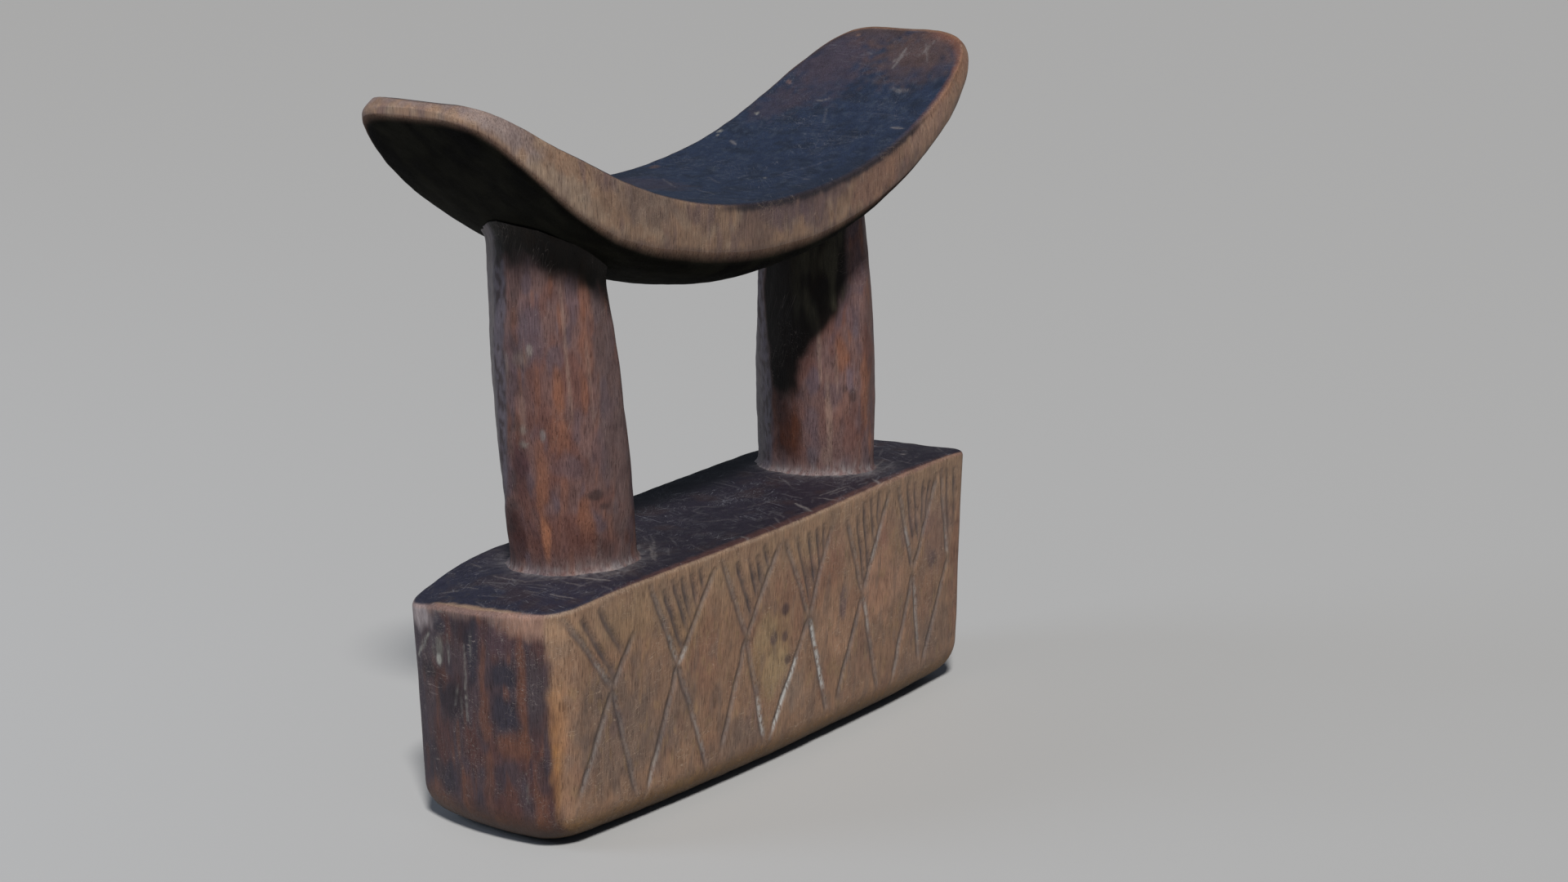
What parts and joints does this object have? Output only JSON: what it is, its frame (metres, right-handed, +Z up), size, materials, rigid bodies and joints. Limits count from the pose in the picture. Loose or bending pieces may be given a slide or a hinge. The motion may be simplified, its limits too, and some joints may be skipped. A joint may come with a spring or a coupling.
{
  "type": "headrest",
  "caption": "Carved wooden headrest: a curved head plate on stout oval posts above a deep block base with hatched crosses incised along its front.",
  "frame": {"origin": "on the resting surface, under the middle of the whole object's box", "axes": "+Z up; +X along the headrest's length towards the end whose post stands upright; -Y is the front with the incised crosses"},
  "size_m": [0.1962, 0.0574, 0.1798],
  "materials": {
    "base_wood": "worn, hand-rubbed tan wood with a dark patina on the top face and the left end",
    "post_wood": "dark reddish brown, adzed, lightly waxed by handling",
    "plate_wood": "blue-black handling patina with a worn tan edge"
  },
  "bodies": {
    "root": {"base_block": "base_wood", "left_post": "post_wood", "right_post": "post_wood", "head_plate": "plate_wood"}
  },
  "joints": []
}
